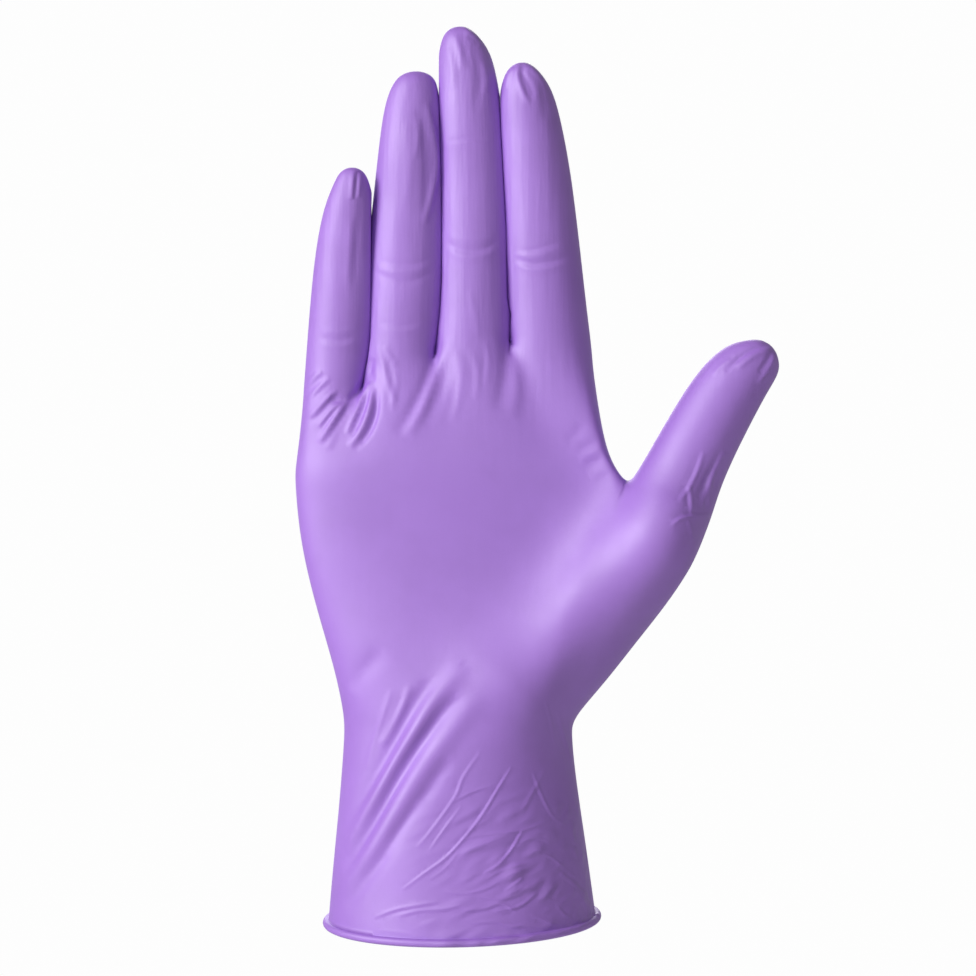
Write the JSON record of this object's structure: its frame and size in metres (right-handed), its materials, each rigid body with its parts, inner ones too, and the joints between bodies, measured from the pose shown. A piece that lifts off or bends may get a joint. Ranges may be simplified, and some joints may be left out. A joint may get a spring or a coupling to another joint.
{
  "type": "nitrile exam glove",
  "caption": "Thin beaded-cuff examination glove in its worn form: straight fingers held together, thumb held out, palm to the front, cuff open below.",
  "frame": {"origin": "middle of the cuff's opening, where the hand goes in", "axes": "+Z from the cuff towards the fingertips, -Y the way the palm faces, +X towards the thumb"},
  "size_m": [0.1265, 0.0532, 0.2405],
  "materials": {
    "nitrile": "matt to satin lavender nitrile film, smooth and slightly soft in its sheen"
  },
  "bodies": {
    "root": {"glove": "nitrile"}
  },
  "joints": []
}
